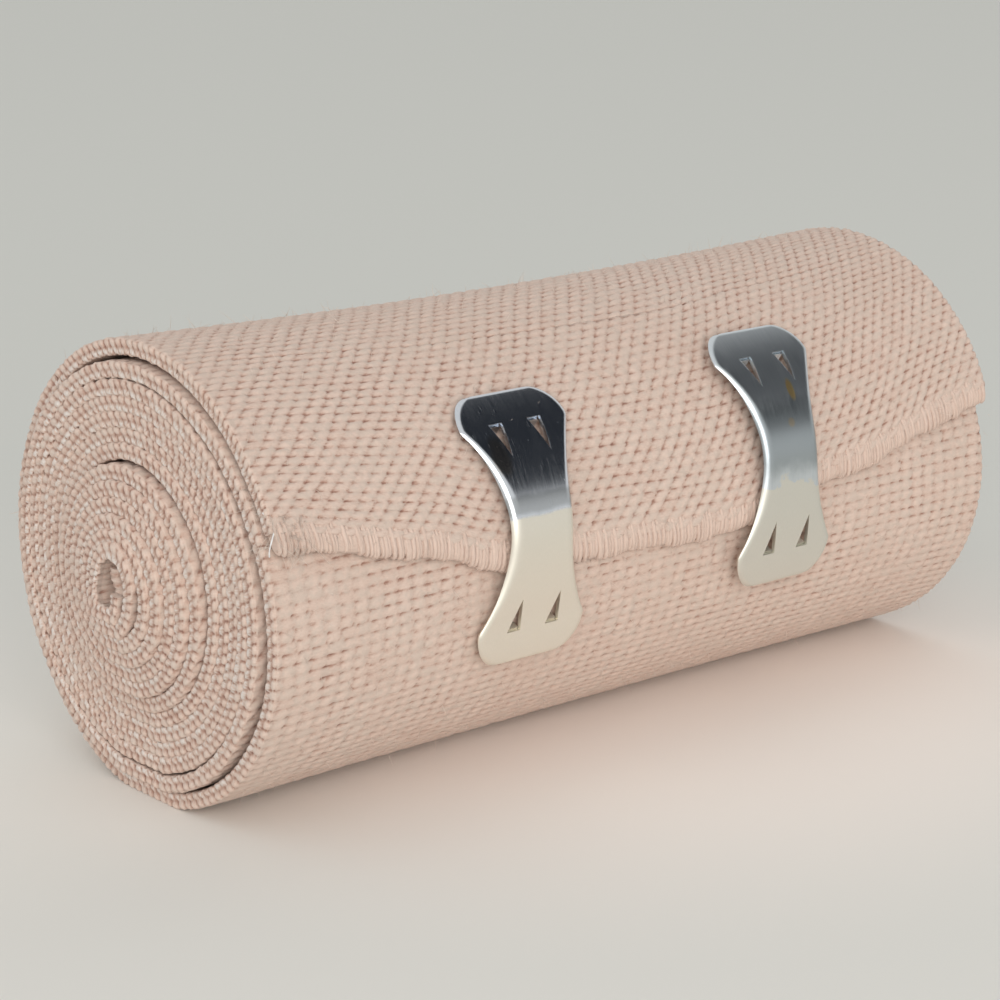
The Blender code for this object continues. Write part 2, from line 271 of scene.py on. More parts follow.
def drift(u, v, seed):  # slow wander of the threads
    return (
        0.50 * np.sin(0.19 * u + 0.07 * v + seed)
        + 0.35 * np.sin(0.11 * v - 0.33 * u + 2.1 * seed)
        + 0.22 * np.sin(0.47 * u + 0.29 * v + 4.3 * seed)
        + 0.16 * np.sin(0.83 * v - 0.41 * u + 1.3 * seed)
    )


def weave(u, v, grid):  # relief from 0 in a gap to 1 on a lump, and the lump's own number
    v = v + 0.16 * drift(u, v, 1.0)
    u = u + 0.22 * drift(u * 0.6, v * 0.6, 5.0)
    row = np.floor(v)
    b = 2 * (v - row) - 1
    u = u + 0.5 * (1 - grid) * (row % 2) + 0.14 * (scramble(0 * row, row, 3) - 0.5)
    u = u - cloth["skew"] * (1 - 0.55 * grid) * b
    column = np.floor(u)
    a = 2 * (u - column) - 1
    sizes, dots = scramble(column, row, 1), scramble(column, row, 4)
    thread = np.abs(b) ** (2.4 + 0.6 * grid)
    groove = 1 - (1 - np.minimum(1, thread)) ** 0.7
    groove = groove * (0.30 + 0.55 * ease(0.3 - 1.2 * a) + 0.06 * grid)
    end = np.abs(a) ** 3 * (0.44 - 0.16 * grid + 0.5 * (sizes - 0.5))
    corner = np.abs(a) ** 4 * np.abs(b) ** 3 * (0.35 + 0.9 * dots**2)
    fibres = cloth["rough"] * (scramble(a * 7.1 + column, b * 5.3 + row, 6) - 0.5)
    relief = np.clip((1 - groove) * (1 - end) - 0.5 * corner + fibres, 0, 1)
    return relief * (0.88 + 0.24 * sizes), scramble(column, row, 2)


def edgeWeave(inward, v):  # the same at the cloth's edge: two columns of loops, one set half a row on
    v = v + 0.16 * drift(0 * v, v, 1.0)
    column = np.floor(np.clip(inward * 2, 0, 1.99))
    v = v + 0.5 * column
    row = np.floor(v)
    a, b = 2 * (inward * 2 - column) - 1, 2 * (v - row) - 1
    sizes = scramble(column + 9, row, 1)
    loop = (1 - np.minimum(1, np.abs(b + 0.25 * a)) ** (2.4 + sizes)) ** 0.8
    loop = loop * (1 - (0.35 + 0.3 * sizes) * np.abs(a) ** 3)
    return loop * (0.84 + 0.3 * sizes), scramble(column + 9, row, 2)


def roundEdge(turn, side):  # a squarish round: place across, depth, and the way the face looks
    half, deep, r, square = roll["width"] / 2, cloth["thickness"], cloth["edgeDepth"], cloth["square"]
    for t in turn:
        s, c = math.sin(t) ** square, math.copysign(abs(math.cos(t)) ** square, math.cos(t))
        yield side * (half - r * (1 - s)), roll["thickness"] / 2 - deep / 2 * c, side * math.sin(t), math.cos(t)


def clothSection(middle, near, far, columns):  # loop: near edge, outer face, far edge, inner face
    half, r = roll["width"] / 2, cloth["edgeDepth"]
    top, deep = (roll["thickness"] - cloth["thickness"]) / 2, (roll["thickness"] + cloth["thickness"]) / 2
    nearEdge = list(roundEdge(np.linspace(math.pi, 0, near["round"] + 1), -1))
    farEdge = list(roundEdge(np.linspace(0, math.pi, far["round"] + 1), 1))
    outer = [(x, top, 0.0, 1.0) for x in columns]
    inner = [(half - r - d, deep, 0.0, -1.0) for d in far["inner"]]
    inner += [(x, deep, 0.0, -1.0) for x in middle]
    inner += [(-half + r + d, deep, 0.0, -1.0) for d in near["inner"][::-1]]
    return np.array(nearEdge + outer + farEdge + inner)


def sectionLength(section):  # distance round the loop, 0 at the start of the outer face
    steps = np.linalg.norm(np.diff(section[:, :2], axis=0), axis=1)
    along = np.concatenate(([0.0], np.cumsum(steps)))
    first = int(np.argmax(section[:, 3] == 1))
    return along - along[first]


def zipShut(places):  # triangles that close a long thin loop, from side to side
    front, back, loop, faces = 0, len(places) - 1, len(places), []
    while front + 1 < back:
        if places[front + 1] < places[back - 1]:
            faces.append((front, front + 1, back))
            front += 1
        else:
            faces.append((front, back - 1, back))
            back -= 1
    return np.array(faces)


def buildMesh(name, points, values, uv, places=None):  # a closed mesh from stations of one loop each
    stations, loop = points.shape[:2]
    index = np.arange(stations * loop).reshape(stations, loop)
    beside = np.roll(index, -1, axis=1)
    quads = np.stack((index[:-1], index[1:], beside[1:], beside[:-1]), axis=-1).reshape(-1, 4)
    if places is None:
        ends, size = np.stack((index[0], index[-1][::-1])), loop
    else:
        shut = zipShut(places)
        ends, size = np.concatenate((index[0][shut], index[-1][shut[:, ::-1]])), 3
    sizes = np.concatenate((np.full(len(quads), 4), np.full(len(ends), size)))
    corners = np.concatenate((quads.ravel(), ends.ravel())).astype(np.int32)
    mesh = bpy.data.meshes.new(name)
    mesh.vertices.add(stations * loop)
    mesh.vertices.foreach_set("co", points.reshape(-1, 3).astype(np.float32).ravel())
    mesh.loops.add(len(corners))
    mesh.loops.foreach_set("vertex_index", corners)
    mesh.polygons.add(len(sizes))
    mesh.polygons.foreach_set("loop_start", np.concatenate(([0], np.cumsum(sizes)[:-1])).astype(np.int32))
    mesh.update(calc_edges=True)
    for key, value in values.items():
        layer = mesh.attributes.new(key, "FLOAT", "POINT")
        layer.data.foreach_set("value", np.broadcast_to(value, (stations, loop)).astype(np.float32).ravel())
    layer = mesh.uv_layers.new(name="threads")
    layer.data.foreach_set("uv", uv.reshape(-1, 2)[corners].astype(np.float32).ravel())
    mesh.polygons.foreach_set("use_smooth", np.arange(len(sizes)) < len(quads))  # the caps stay flat
    mesh.validate()
    piece = bpy.data.objects.new(name, mesh)
    scene.collection.objects.link(piece)
    return piece


lengths = np.linspace(0, turns, 4000)  # turns in, and the strip's length up to each
turnSteps = 2 * math.pi * turnRadius(lengths[1:] - turns / 8000) * turns / 3999
stripLength = np.concatenate(([0.0], np.cumsum(turnSteps)))


def clothPiece(name, section, rows, perRow, material):  # a stretch of the strip, every lump in its mesh
    v = np.linspace(rows[0], rows[1], int(round((rows[1] - rows[0]) * perRow)) + 1)[:, None]
    turnsIn = np.interp(v * cloth["row"], stripLength, lengths)
    across, depth, outX, outZ = section.T[:, None, :]
    u = sectionLength(section)[None, :] / cloth["cell"]
    grid, brick = (
        ease((v - first) / (last - first)) for first, last in (cloth["staggered"], cloth["brickAgain"])
    )
    grid = grid * (1 - brick)
    relief, lump = weave(u + 0 * v, v + 0 * u, grid)
    edge = ease(np.abs(outX) * 1.6 - 0.2) + 0 * relief
    inward = np.clip((depth - roll["thickness"] / 2) / cloth["thickness"] + 0.5, 0, 1) + 0 * relief
    loops, loopLump = edgeWeave(inward, v + 0 * u)
    relief, lump = relief + (loops - relief) * edge, np.where(edge > 0.5, loopLump, lump)
    pale = edge * ease((inward - 0.42) * 6)
    hidden = ((outZ == -1) & (np.abs(across) < roll["width"] / 2 - cloth["plainInside"])) + 0 * relief
    relief = np.where(hidden > 0, 0.5, relief)
    lifted = cloth["relief"] * (relief - cloth["level"])
    ragged = cloth["ragged"] * drift(0 * u, v * 0.7, 3.0) * np.sign(across)
    nearTail = np.maximum(0.0, 1 - turnsIn / cloth["tailReach"]) ** 2
    shifted = turnsIn + (tailBack(across) - cloth["seamOverlap"] / girth) * nearTail
    points = wind(shifted, across + ragged + outX * lifted, depth - outZ * lifted)
    points[..., 2] = np.maximum(points[..., 2], cloth["floorGap"])
    uv = np.stack(np.broadcast_arrays(u * cloth["cell"] * 1000, v * cloth["row"] * 1000), axis=-1)
    values = dict(relief=relief, lump=lump, edge=edge, pale=pale)
    first = int(np.argmax(section[:, 3] == 1)) - cloth["edgeSteps"] // 2
    order = lambda values: np.roll(values, -first, axis=1)
    values = {key: order(np.broadcast_to(value, relief.shape)) for key, value in values.items()}
    piece = buildMesh(name, order(points), values, order(uv), np.roll(section[:, 0], -first))
    piece.data.materials.append(material)
    return piece


def clothFinish():
    soft = dict(Roughness=0.92, Sheen_Weight=0.12, Sheen_Roughness=0.6, Specular_IOR_Level=0.25)
    finish = Finish("woven_cloth", **soft)
    relief, lump, edge, pale = (finish.attribute(name) for name in ("relief", "lump", "edge", "pale"))
    threads = finish.node("ShaderNodeUVMap", dict(uv_map="threads"))
    place = finish.node("ShaderNodeTexCoord", output="Object")
    fibres = finish.noise(threads, 4.2, 4.0, (0.7, 1.5, 1))
    fuzz = finish.noise(threads, 11.0, 3.0)
    tones = finish.noise(threads, 1.5, 3.0)
    patches = finish.noise(place, 110.0, 3.0)
    # colour by relief: painted shade in the gaps and pits and painted light on the lump tops, with fibre, fuzz
    # and lump noise as the cloth's own tone
    shadeByReliefAndTone = relief + (fibres - 0.5) * 0.75 + (fuzz - 0.5) * 0.30 + (lump - 0.5) * 0.16
    colour = finish.ramp(
        shadeByReliefAndTone,
        (0.04, cloth["paintedGapShade"]),
        (0.36, cloth["paintedShadeColour"]),
        (0.66, cloth["lumpColour"]),
        (1.02, cloth["paintedLitTopColour"]),
    )
    greyed = finish.range(tones + (lump - 0.5) * 0.2, 0.42, 0.66) * 0.45 * finish.range(relief, 0.1, 0.6)
    colour = finish.mix(greyed, colour, cloth["greyColour"] + (1,))
    colour = finish.mix(finish.range(patches, 0.35, 0.75) * 0.20, colour, cloth["patchColour"] + (1,))
    glint = finish.range(fibres + (lump - 0.5) * 0.2, 0.42, 0.60) * finish.range(relief, 0.35, 0.75)
    colour = finish.mix(glint * (edge * 0.10 + pale * 0.62), colour, cloth["paleColour"] + (1,))
    height = fibres * 0.6 + fuzz * 0.4
    bump = finish.node("ShaderNodeBump", None, {"Strength": 0.8, "Distance": 0.00011, "Height": height})
    return finish.feed(Base_Color=colour, Normal=bump)


clothMaterial = clothFinish()
halfWidth = roll["width"] / 2


def outerSection(columnsPerCell):
    columns = np.linspace(-halfWidth, halfWidth, int(roll["width"] / cloth["cell"] * columnsPerCell) + 1)
    return clothSection(
        middle=np.linspace(0.032, -0.032, 17),
        near=dict(round=cloth["edgeSteps"], inner=[0.0003, 0.0006, 0.001, 0.002]),
        far=dict(round=cloth["edgeSteps"] // 2 + 2, inner=[0.0003, 0.0006, 0.001, 0.002]),
        columns=columns[np.abs(columns) < halfWidth - cloth["edgeDepth"] - 0.0001],
    )


rim = [0.00025, 0.0005, 0.00075, 0.001, 0.0014, 0.0020, 0.0040]
start = halfWidth - cloth["edgeDepth"]
innerSection = clothSection(
    middle=[0.015, -0.015],
    near=dict(round=cloth["edgeSteps"], inner=[0.0004, 0.0012]),
    far=dict(round=cloth["edgeSteps"] // 2, inner=[0.0003, 0.0006, 0.001, 0.0018]),
    columns=[-start + d for d in rim] + [-0.015, 0.015] + [start - d for d in rim[::2]][::-1],
)

lastRow = stripLength[-1] / cloth["row"]
stretches = [
    ("cloth_tail", outerSection(7), (0, 23), 6),
    ("cloth_top", outerSection(7), (23, 46), 6),
    ("cloth_back", outerSection(5), (46, 92), 3),
    ("cloth_under", outerSection(6), (92, 138), 5),
    ("cloth_outer_turns", innerSection, (138, 500), 5),
    ("cloth_core_turns", innerSection, (500, lastRow), 5),
]
for name, section, rows, perRow in stretches:
    piece = clothPiece(name, section, rows, perRow, clothMaterial)
    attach(piece, "root")
    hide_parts("bandage_roll")
    (rows[1] - rows[0]) * cloth["row"]
    print(name, len(piece.data.polygons), "faces")


# The overlock seam: threads wrapped round the tail's edge
seam = dict(
    height=0.0032,
    wrap=0.00099,
    pitch=0.00032,
    threadRadius=0.00020,
    sides=6,
    steps=12,
    slant=0.00035,
    waves=((0.00016, 640, 0), (0.00010, 1900, 1)),  # of its lower border: height, how often, shift
    endInset=0.0003,
    colour=(0.68, 0.525, 0.445),
    shade=(0.60, 0.445, 0.370),
)


# Many closed tubes in one mesh: a path is an array of points, with one radius for each point
def tubes(name, paths, radii, sides, values, material):
    points, quads, caps, count, uv, own = [], [], [], 0, [], []
    for path, radius, value in zip(paths, radii, values):
        path = np.asarray(path)
        ahead = np.gradient(path, axis=0)
        ahead /= np.linalg.norm(ahead, axis=1)[:, None]
        helper = np.array((0.31, 0.17, 0.93)) if abs(ahead[0][2]) < 0.9 else np.array((1.0, 0.1, 0.0))
        side = np.cross(ahead, helper)
        side /= np.linalg.norm(side, axis=1)[:, None]
        other = np.cross(ahead, side)
        turn = np.linspace(0, 2 * math.pi, sides, endpoint=False)
        ring = np.cos(turn)[None, :, None] * side[:, None, :] + np.sin(turn)[None, :, None] * other[:, None, :]
        points.append((path[:, None, :] + ring * np.asarray(radius)[:, None, None]).reshape(-1, 3))
        steps = len(path)
        index = np.arange(steps * sides).reshape(steps, sides) + count
        beside = np.roll(index, -1, axis=1)
        quads.append(np.stack((index[:-1], beside[:-1], beside[1:], index[1:]), axis=-1).reshape(-1, 4))
        caps += [index[0][::-1], index[-1]]
        along = np.concatenate(([0.0], np.cumsum(np.linalg.norm(np.diff(path, axis=0), axis=1)))) * 1000
        both = np.broadcast_arrays(np.arange(sides)[None, :] / sides + 7.3 * value, along[:, None])
        uv.append(np.stack(both, axis=-1).reshape(-1, 2))
        own.append(np.full(steps * sides, value))
        count += steps * sides
    quads, points, uv = np.concatenate(quads), np.concatenate(points), np.concatenate(uv)
    corners = np.concatenate([quads.ravel()] + caps).astype(np.int32)
    sizes = np.concatenate((np.full(len(quads), 4), np.full(len(caps), sides)))
    mesh = bpy.data.meshes.new(name)
    mesh.vertices.add(len(points))
    mesh.vertices.foreach_set("co", points.astype(np.float32).ravel())
    mesh.loops.add(len(corners))
    mesh.loops.foreach_set("vertex_index", corners)
    mesh.polygons.add(len(sizes))
    mesh.polygons.foreach_set("loop_start", np.concatenate(([0], np.cumsum(sizes)[:-1])).astype(np.int32))
    mesh.update(calc_edges=True)
    layer = mesh.attributes.new("own", "FLOAT", "POINT")
    layer.data.foreach_set("value", np.concatenate(own).astype(np.float32))
    layer = mesh.uv_layers.new(name="threads")
    layer.data.foreach_set("uv", uv[corners].astype(np.float32).ravel())
    mesh.validate()
    mesh.polygons.foreach_set("use_smooth", np.ones(len(mesh.polygons), bool))
    piece = bpy.data.objects.new(name, mesh)
    scene.collection.objects.link(piece)
    mesh.materials.append(material)
    return piece


def threadFinish(name, pale, shade, sheen=0.15):
    finish = Finish(name, Roughness=0.85, Sheen_Weight=sheen, Specular_IOR_Level=0.3)
    own = finish.attribute("own")
    threads = finish.node("ShaderNodeUVMap", dict(uv_map="threads"))
    plies = finish.noise(threads, 3.0, 3.0, (4.0, 0.7, 1))
    palest = tuple(min(1, c * 1.1) for c in pale)
    colour = finish.ramp(plies + (own - 0.5) * 0.25, (0.22, shade), (0.48, pale), (0.8, palest))
    bump = finish.node("ShaderNodeBump", None, {"Strength": 0.6, "Distance": 0.00006, "Height": plies})
    return finish.feed(Base_Color=colour, Normal=bump)


threadMaterial = threadFinish("overlock_thread", seam["colour"], seam["shade"])


def seamPoint(across, up, out, height, thickness, deeper=0.0):  # round the oval of the wrapped edge
    turnsIn = tailBack(across) + up * height / 2 / girth
    depth = roll["thickness"] / 2 - out * thickness / 2 + deeper
    return wind(turnsIn, across, depth)


def overlockSeam():
    dice = random.Random(11)
    paths, radii, values = [], [], []
    count = int(roll["width"] / seam["pitch"])
    turn = np.linspace(math.radians(-50), math.radians(230), seam["steps"])
    for i in range(count):
        across = -halfWidth + (i + 0.5) * seam["pitch"] + dice.uniform(-0.4, 0.4) * seam["pitch"]
        across = min(max(across, -halfWidth + seam["endInset"]), halfWidth - seam["endInset"])
        wave = sum(high * math.sin(across * often + shift) for high, often, shift in seam["waves"])
        wave = wave + dice.uniform(-1, 1) * 0.00007
        height = seam["height"] - 2 * seam["threadRadius"] + 0.0002
        up, out = np.sin(turn - math.pi / 2) * -1, np.cos(turn - math.pi / 2)
        slant = seam["slant"] * (0.6 + 0.9 * math.sin(across * 210 + 2.0)) + dice.uniform(-1, 1) * 0.00018
        sideways = across - slant * up * 0.5
        low = np.where(up < 0, up * (1 + 2 * wave / height), up)
        sideways = np.clip(sideways, 0.0002 - halfWidth, halfWidth - 0.0002)
        deeper = dice.uniform(-0.4, 1) * 0.00008
        paths.append(seamPoint(sideways, low, out, height, seam["wrap"], deeper))
        radius = seam["threadRadius"] * dice.uniform(0.85, 1.25)
        radii.append(radius * (0.75 + 0.25 * np.maximum(0, out)))
        values.append(dice.random())
    piece = tubes("seam_threads", paths, radii, seam["sides"], values, threadMaterial)
    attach(piece, "root")
    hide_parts("overlock_seam")


def seamCore():  # what the threads are wrapped round
    across = np.linspace(-halfWidth + seam["endInset"], halfWidth - seam["endInset"], 160)[:, None]
    turn = np.linspace(0, 2 * math.pi, 12, endpoint=False)[None, :]
    points = seamPoint(across, np.cos(turn), np.sin(turn), seam["height"] - 0.0003, seam["wrap"] + 0.0001)
    uv = np.stack(np.broadcast_arrays(turn, across * 1000), axis=-1)
    piece = buildMesh("seam_core", points[::-1], dict(own=0.4), uv)
    piece.data.materials.append(threadMaterial)
    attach(piece, "root")


overlockSeam()
seamCore()
print("seam done")


# Loose fibres: short hairs all over, a lock that bridges the outermost gap, a tuft
fuzz = dict(
    hairs=2600,
    hairAcross=(-0.0372, 0.0372),
    hairTurns=(-0.18, 0.6),  # the stretch of the outermost turn that has hairs
    hairLength=(0.0003, 0.0009),
    hairRadius=0.000016,
    lock=dict(count=46, turnsIn=(0.045, 0.105), across=-0.0372, length=0.0022, depths=(0.0009, 0.0005)),
    tuft=dict(
        count=70, across=(-0.0374, -0.0345), along=(-0.0016, 0.0012), length=0.0016, way=(-0.5, -0.8, -0.5),
    ),
    colour=(0.80, 0.68, 0.59),
    shade=(0.66, 0.52, 0.43),
)


def anyWay(dice):
    return np.array([dice.uniform(-1, 1) for _ in range(3)])


def hair(dice, start, ahead, length, curl):
    steps = np.linspace(0, 1, 4)[:, None]
    bend = anyWay(dice) * curl * length
    return start + ahead * length * steps + bend * steps**2


def looseFibres():
    dice = random.Random(23)
    paths = []
    for _ in range(fuzz["hairs"]):
        across, turnsIn = dice.uniform(*fuzz["hairAcross"]), dice.uniform(*fuzz["hairTurns"]) % 1.0
        base, outer = (wind(np.array(turnsIn), np.array(across), np.array(depth)) for depth in (0.0, -0.0005))
        way = (outer - base) / 0.0005 * 0.55 + anyWay(dice) * 0.8
        paths.append(hair(dice, base, way, dice.uniform(*fuzz["hairLength"]), 0.6))
    lock = fuzz["lock"]
    for _ in range(lock["count"]):
        turnsIn = dice.uniform(*lock["turnsIn"])
        base = wind(np.array(turnsIn), np.array(lock["across"]), np.array(lock["depths"][0]))
        below = wind(np.array(turnsIn + 1), np.array(lock["across"]), np.array(lock["depths"][1]))
        way = (below - base) / np.linalg.norm(below - base) + anyWay(dice) * 0.6
        paths.append(hair(dice, base, way, lock["length"] * dice.uniform(0.4, 1), 0.5))
    tuft = fuzz["tuft"]
    for _ in range(tuft["count"]):
        across = dice.uniform(*tuft["across"])
        turnsIn = tailBack(np.array(across)) + dice.uniform(*tuft["along"]) / girth
        base = wind(turnsIn, np.array(across), np.array(-0.0001))
        way = np.array(tuft["way"]) + anyWay(dice) * 0.8
        paths.append(hair(dice, base, way, tuft["length"] * dice.uniform(0.3, 1), 0.7))
    radii = [fuzz["hairRadius"] * dice.uniform(0.7, 1.3) * np.array((1, 1, 0.8, 0.4)) for _ in paths]
    finish = threadFinish("loose_fibres", fuzz["colour"], fuzz["shade"], 0.3)
    piece = tubes("loose_fibres", paths, radii, 3, [dice.random() for _ in paths], finish)
    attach(piece, "root")
    print("loose_fibres", len(piece.data.polygons), "faces")


# A short white thread over the near edge
white = dict(
    turnsIn=0.078,
    fall=0.028,  # turns
    across=-0.0376,
    sway=0.0004,
    lift=0.0003,
    radius=0.00006,
    steps=12,
    colour=(0.88, 0.87, 0.86),
    shade=(0.80, 0.78, 0.77),
)


def whiteThread():
    down = np.linspace(0, 1, white["steps"])
    turnsIn = white["turnsIn"] - white["fall"] * down
    across = white["across"] + white["sway"] * np.sin(down * 5)
    path = wind(turnsIn, across, white["lift"] - white["lift"] * np.sin(down * math.pi))
    finish = threadFinish("white_thread", white["colour"], white["shade"])
    piece = tubes("white_thread", [path], [np.full(white["steps"], white["radius"])], 6, [0.5], finish)
    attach(piece, "root")


# The strip's inner end, folded into the hollow
fold = dict(
    inset=0.0007,  # behind the near end of the innermost turn
    length=0.0500,
    halfHeight=0.00125,
    halfThickness=0.00062,
    bow=0.00035,
    bulge=0.00022,
    ripple=0.00008,
)


def coreFold():
    down = np.linspace(-1, 1, 26)[:, None]
    turn = np.linspace(0, 2 * math.pi, 16, endpoint=False)[None, :]
    nearEnd = -roll["width"] / 2 - roll["telescope"][-1][1] * roll["width"] + fold["inset"]
    y = fold["bow"] * np.sin(down * 2.4) + fold["halfThickness"] * np.cos(turn)
    z = axisHeight + down * fold["halfHeight"]
    across = nearEnd + np.where(np.sin(turn) < 0, 0.0, fold["length"])
    across = across + fold["bulge"] * np.abs(np.cos(turn)) + fold["ripple"] * np.sin(down * 19)
    points = np.stack(np.broadcast_arrays(across, y, z), axis=-1)
    uv = np.stack(np.broadcast_arrays(turn * 0.5, down * 1.3), axis=-1)
    values = dict(relief=0.62 + 0.25 * np.sin(down * 11 + turn), lump=0.5, edge=1.0, pale=0.0)
    piece = buildMesh("core_fold", points, values, uv)
    piece.data.materials.append(clothMaterial)
    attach(piece, "root")


looseFibres()
whiteThread()
coreFold()
print("loose fibres done")


# The stamped clips
clip = dict(
    length=0.0217,
    endWidth=0.0100,
    neckWidth=0.0054,
    corner=0.0028,
    thickness=0.00035,
    stand=0.0005,
    rim=(0.00024, 0.00052),  # at its ends, at its neck
    rimDrop=(0.00010, 0.00026),
    bevel=0.00010,
    holeEnd=0.00265,
    holeLength=0.00275,
    holeWidth=0.0013,
    holeSpacing=0.00374,
    holeLean=0.00035,
    toothLength=0.0019,
    toothBend=70.0,
    toothPlay=0.00005,
    columns=44,
    rows=110,
)
# each clip seen from its side: share of its length, height over the roll in cloth thicknesses
creasedSide = (
    (0, 0.02), (0.20, 0.39), (0.43, 0.61), (0.51, 0.50), (0.62, 0.04), (0.72, -0.39), (0.85, -0.74), (1, -0.57),
)
bowedSide = (
    (0, 0.09), (0.20, 0.42), (0.40, 0.53), (0.50, 0.42), (0.60, 0.11), (0.70, -0.24), (0.85, -0.53), (1, -0.48),
)


class Plate:  # where a clip lies: flat coordinates on the plate to points in space
    def __init__(self, across, topAngle, lean, side):
        self.across, self.lean, self.side = across, math.radians(lean), side
        self.base = (roll["radius"] - roll["tailDrop"]) * float(waistShare(across, topAngle))
        steps, angle, angles = 240, math.radians(topAngle), []
        for i in range(steps + 1):
            angles.append(angle)
            here = self.radius(i / steps)
            rise = self.radius(min(1.0, (i + 1) / steps)) - here
            angle += math.sqrt(max(1e-12, (clip["length"] / steps) ** 2 - rise * rise)) / here
        self.angles = np.array(angles)

    def radius(self, share):
        return self.base + clip["stand"] + roll["thickness"] * smoothThrough(self.side, share)

    def onSheet(self, share):
        angle = np.interp(share, np.linspace(0, 1, len(self.angles)), self.angles)
        radius = self.radius(share)
        return np.stack((0 * angle, -np.sin(angle) * radius, np.cos(angle) * radius), axis=-1)

    def place(self, side, along, height):
        share = along / clip["length"]
        inside = np.clip(share, 0.01, 0.99)
        down = self.onSheet(inside + 0.01) - self.onSheet(inside - 0.01)
        down /= np.linalg.norm(down, axis=-1)[..., None]
        above = -np.cross(np.array((1.0, 0, 0)), down)
        across = self.across + side + math.tan(self.lean) * (along - clip["length"] / 2)
        centre = np.stack((across, 0 * across, 0 * across + axisHeight), axis=-1)
        return centre + self.onSheet(share) + above * height[..., None]


def halfWidthAt(along):  # wide at its ends, narrow at its neck, with round corners
    half = clip["length"] / 2
    off = np.minimum(1.0, np.abs(along - half) / (half - clip["corner"]))
    wide = (clip["neckWidth"] + (clip["endWidth"] - clip["neckWidth"]) * off**2.2) / 2
    fromEnd = np.clip(np.minimum(along, clip["length"] - along), 0, clip["corner"])
    r = clip["corner"]
    return wide - r + np.sqrt(np.maximum(0.0, r * r - (r - fromEnd) ** 2))


def holePlaces():
    for base, inward in ((clip["holeEnd"], 1), (clip["length"] - clip["holeEnd"], -1)):
        for side in (-clip["holeSpacing"] / 2, clip["holeSpacing"] / 2):
            yield side, base, inward


def chooseOnly(piece):
    bpy.ops.object.select_all(action="DESELECT")
    piece.select_set(True)
    bpy.context.view_layer.objects.active = piece


def triangleBlock(name, corners, low, high):  # a three-sided cylinder moved to a hole's corners
    bpy.ops.object.select_all(action="DESELECT")
    bpy.ops.mesh.primitive_cylinder_add(vertices=3, radius=1, depth=1)
    block = bpy.context.object
    block.name = name
    verts = block.data.vertices
    ring = sorted((v for v in verts if v.co.z < 0), key=lambda v: math.atan2(v.co.y, v.co.x))
    centre = np.mean(corners, axis=0)
    corners = sorted(corners, key=lambda c: math.atan2(c[1] - centre[1], c[0] - centre[0]))
    for lower, corner in zip(ring, corners):
        upper = min((v for v in verts if v.co.z > 0), key=lambda v: (v.co.xy - lower.co.xy).length)
        lower.co = (*corner, low)
        upper.co = (*corner, high)
    return block


def holeCorners(side, base, inward, shrink=0.0):
    wide, tip = clip["holeWidth"] / 2 - shrink, base + inward * (clip["holeLength"] - 2 * shrink)
    return [(side - wide, base), (side + wide, base), (side + clip["holeLean"], tip)]


def clipBlank():  # the plate laid flat, from a grid: outline, rolled rim, thickness and four holes
    bpy.ops.object.select_all(action="DESELECT")
    bpy.ops.mesh.primitive_grid_add(x_subdivisions=clip["columns"], y_subdivisions=clip["rows"], size=2)
    blank = bpy.context.object
    for vert in blank.data.vertices:
        share = math.sin(vert.co.x * math.pi / 2) * 0.35 + vert.co.x * 0.65
        along = clip["length"] / 2 * (1 + math.sin(vert.co.y * math.pi / 2) * 0.6 + vert.co.y * 0.4)
        along = min(max(along, 0.0), clip["length"])
        half = float(halfWidthAt(along))
        side = share * half
        inside = min(half - abs(side), along, clip["length"] - along)
        neck = float(ease(1.4 - abs(2 * along / clip["length"] - 1) * 2))
        rim, drop = (low + (high - low) * neck for low, high in (clip["rim"], clip["rimDrop"]))
        rolled = max(0.0, 1 - inside / rim)
        vert.co = (side, along, -drop * (1 - math.sqrt(max(0.0, 1 - rolled * rolled))))
    chooseOnly(blank)
    wall = blank.modifiers.new("plate", "SOLIDIFY")
    wall.thickness, wall.offset = clip["thickness"], 1
    bpy.ops.object.modifier_apply(modifier="plate")
    cutters = [triangleBlock("hole_cutter", holeCorners(*place), -0.002, 0.002) for place in holePlaces()]
    bpy.ops.object.select_all(action="DESELECT")
    for cutter in cutters:
        cutter.select_set(True)
    bpy.context.view_layer.objects.active = cutters[0]
    bpy.ops.object.join()
    chooseOnly(blank)
    cut = blank.modifiers.new("holes", "BOOLEAN")
    cut.operation, cut.object, cut.solver = "DIFFERENCE", cutters[0], "EXACT"
    bpy.ops.object.modifier_apply(modifier="holes")
    bpy.data.objects.remove(cutters[0])
    bevel = blank.modifiers.new("edges", "BEVEL")
    bevel.width, bevel.segments = clip["bevel"], 2
    bevel.limit_method, bevel.angle_limit = "ANGLE", math.radians(50)
    bpy.ops.object.modifier_apply(modifier="edges")
    return blank


def clipTooth(place):  # the triangle from a hole, bent down at its wide end
    side, base, inward = place
    corners = holeCorners(side, base, inward, clip["toothPlay"])
    tooth = triangleBlock("tooth", corners, 0.0, clip["thickness"])
    bend = math.radians(clip["toothBend"])
    scale = clip["toothLength"] / clip["holeLength"]
    for vert in tooth.data.vertices:
        out = (vert.co.y - base) * inward * scale
        up = vert.co.z
        vert.co.y = base + inward * (out * math.cos(bend) + up * math.sin(bend) * 0.5)
        vert.co.z = -out * math.sin(bend) + up * math.cos(bend)
    return tooth


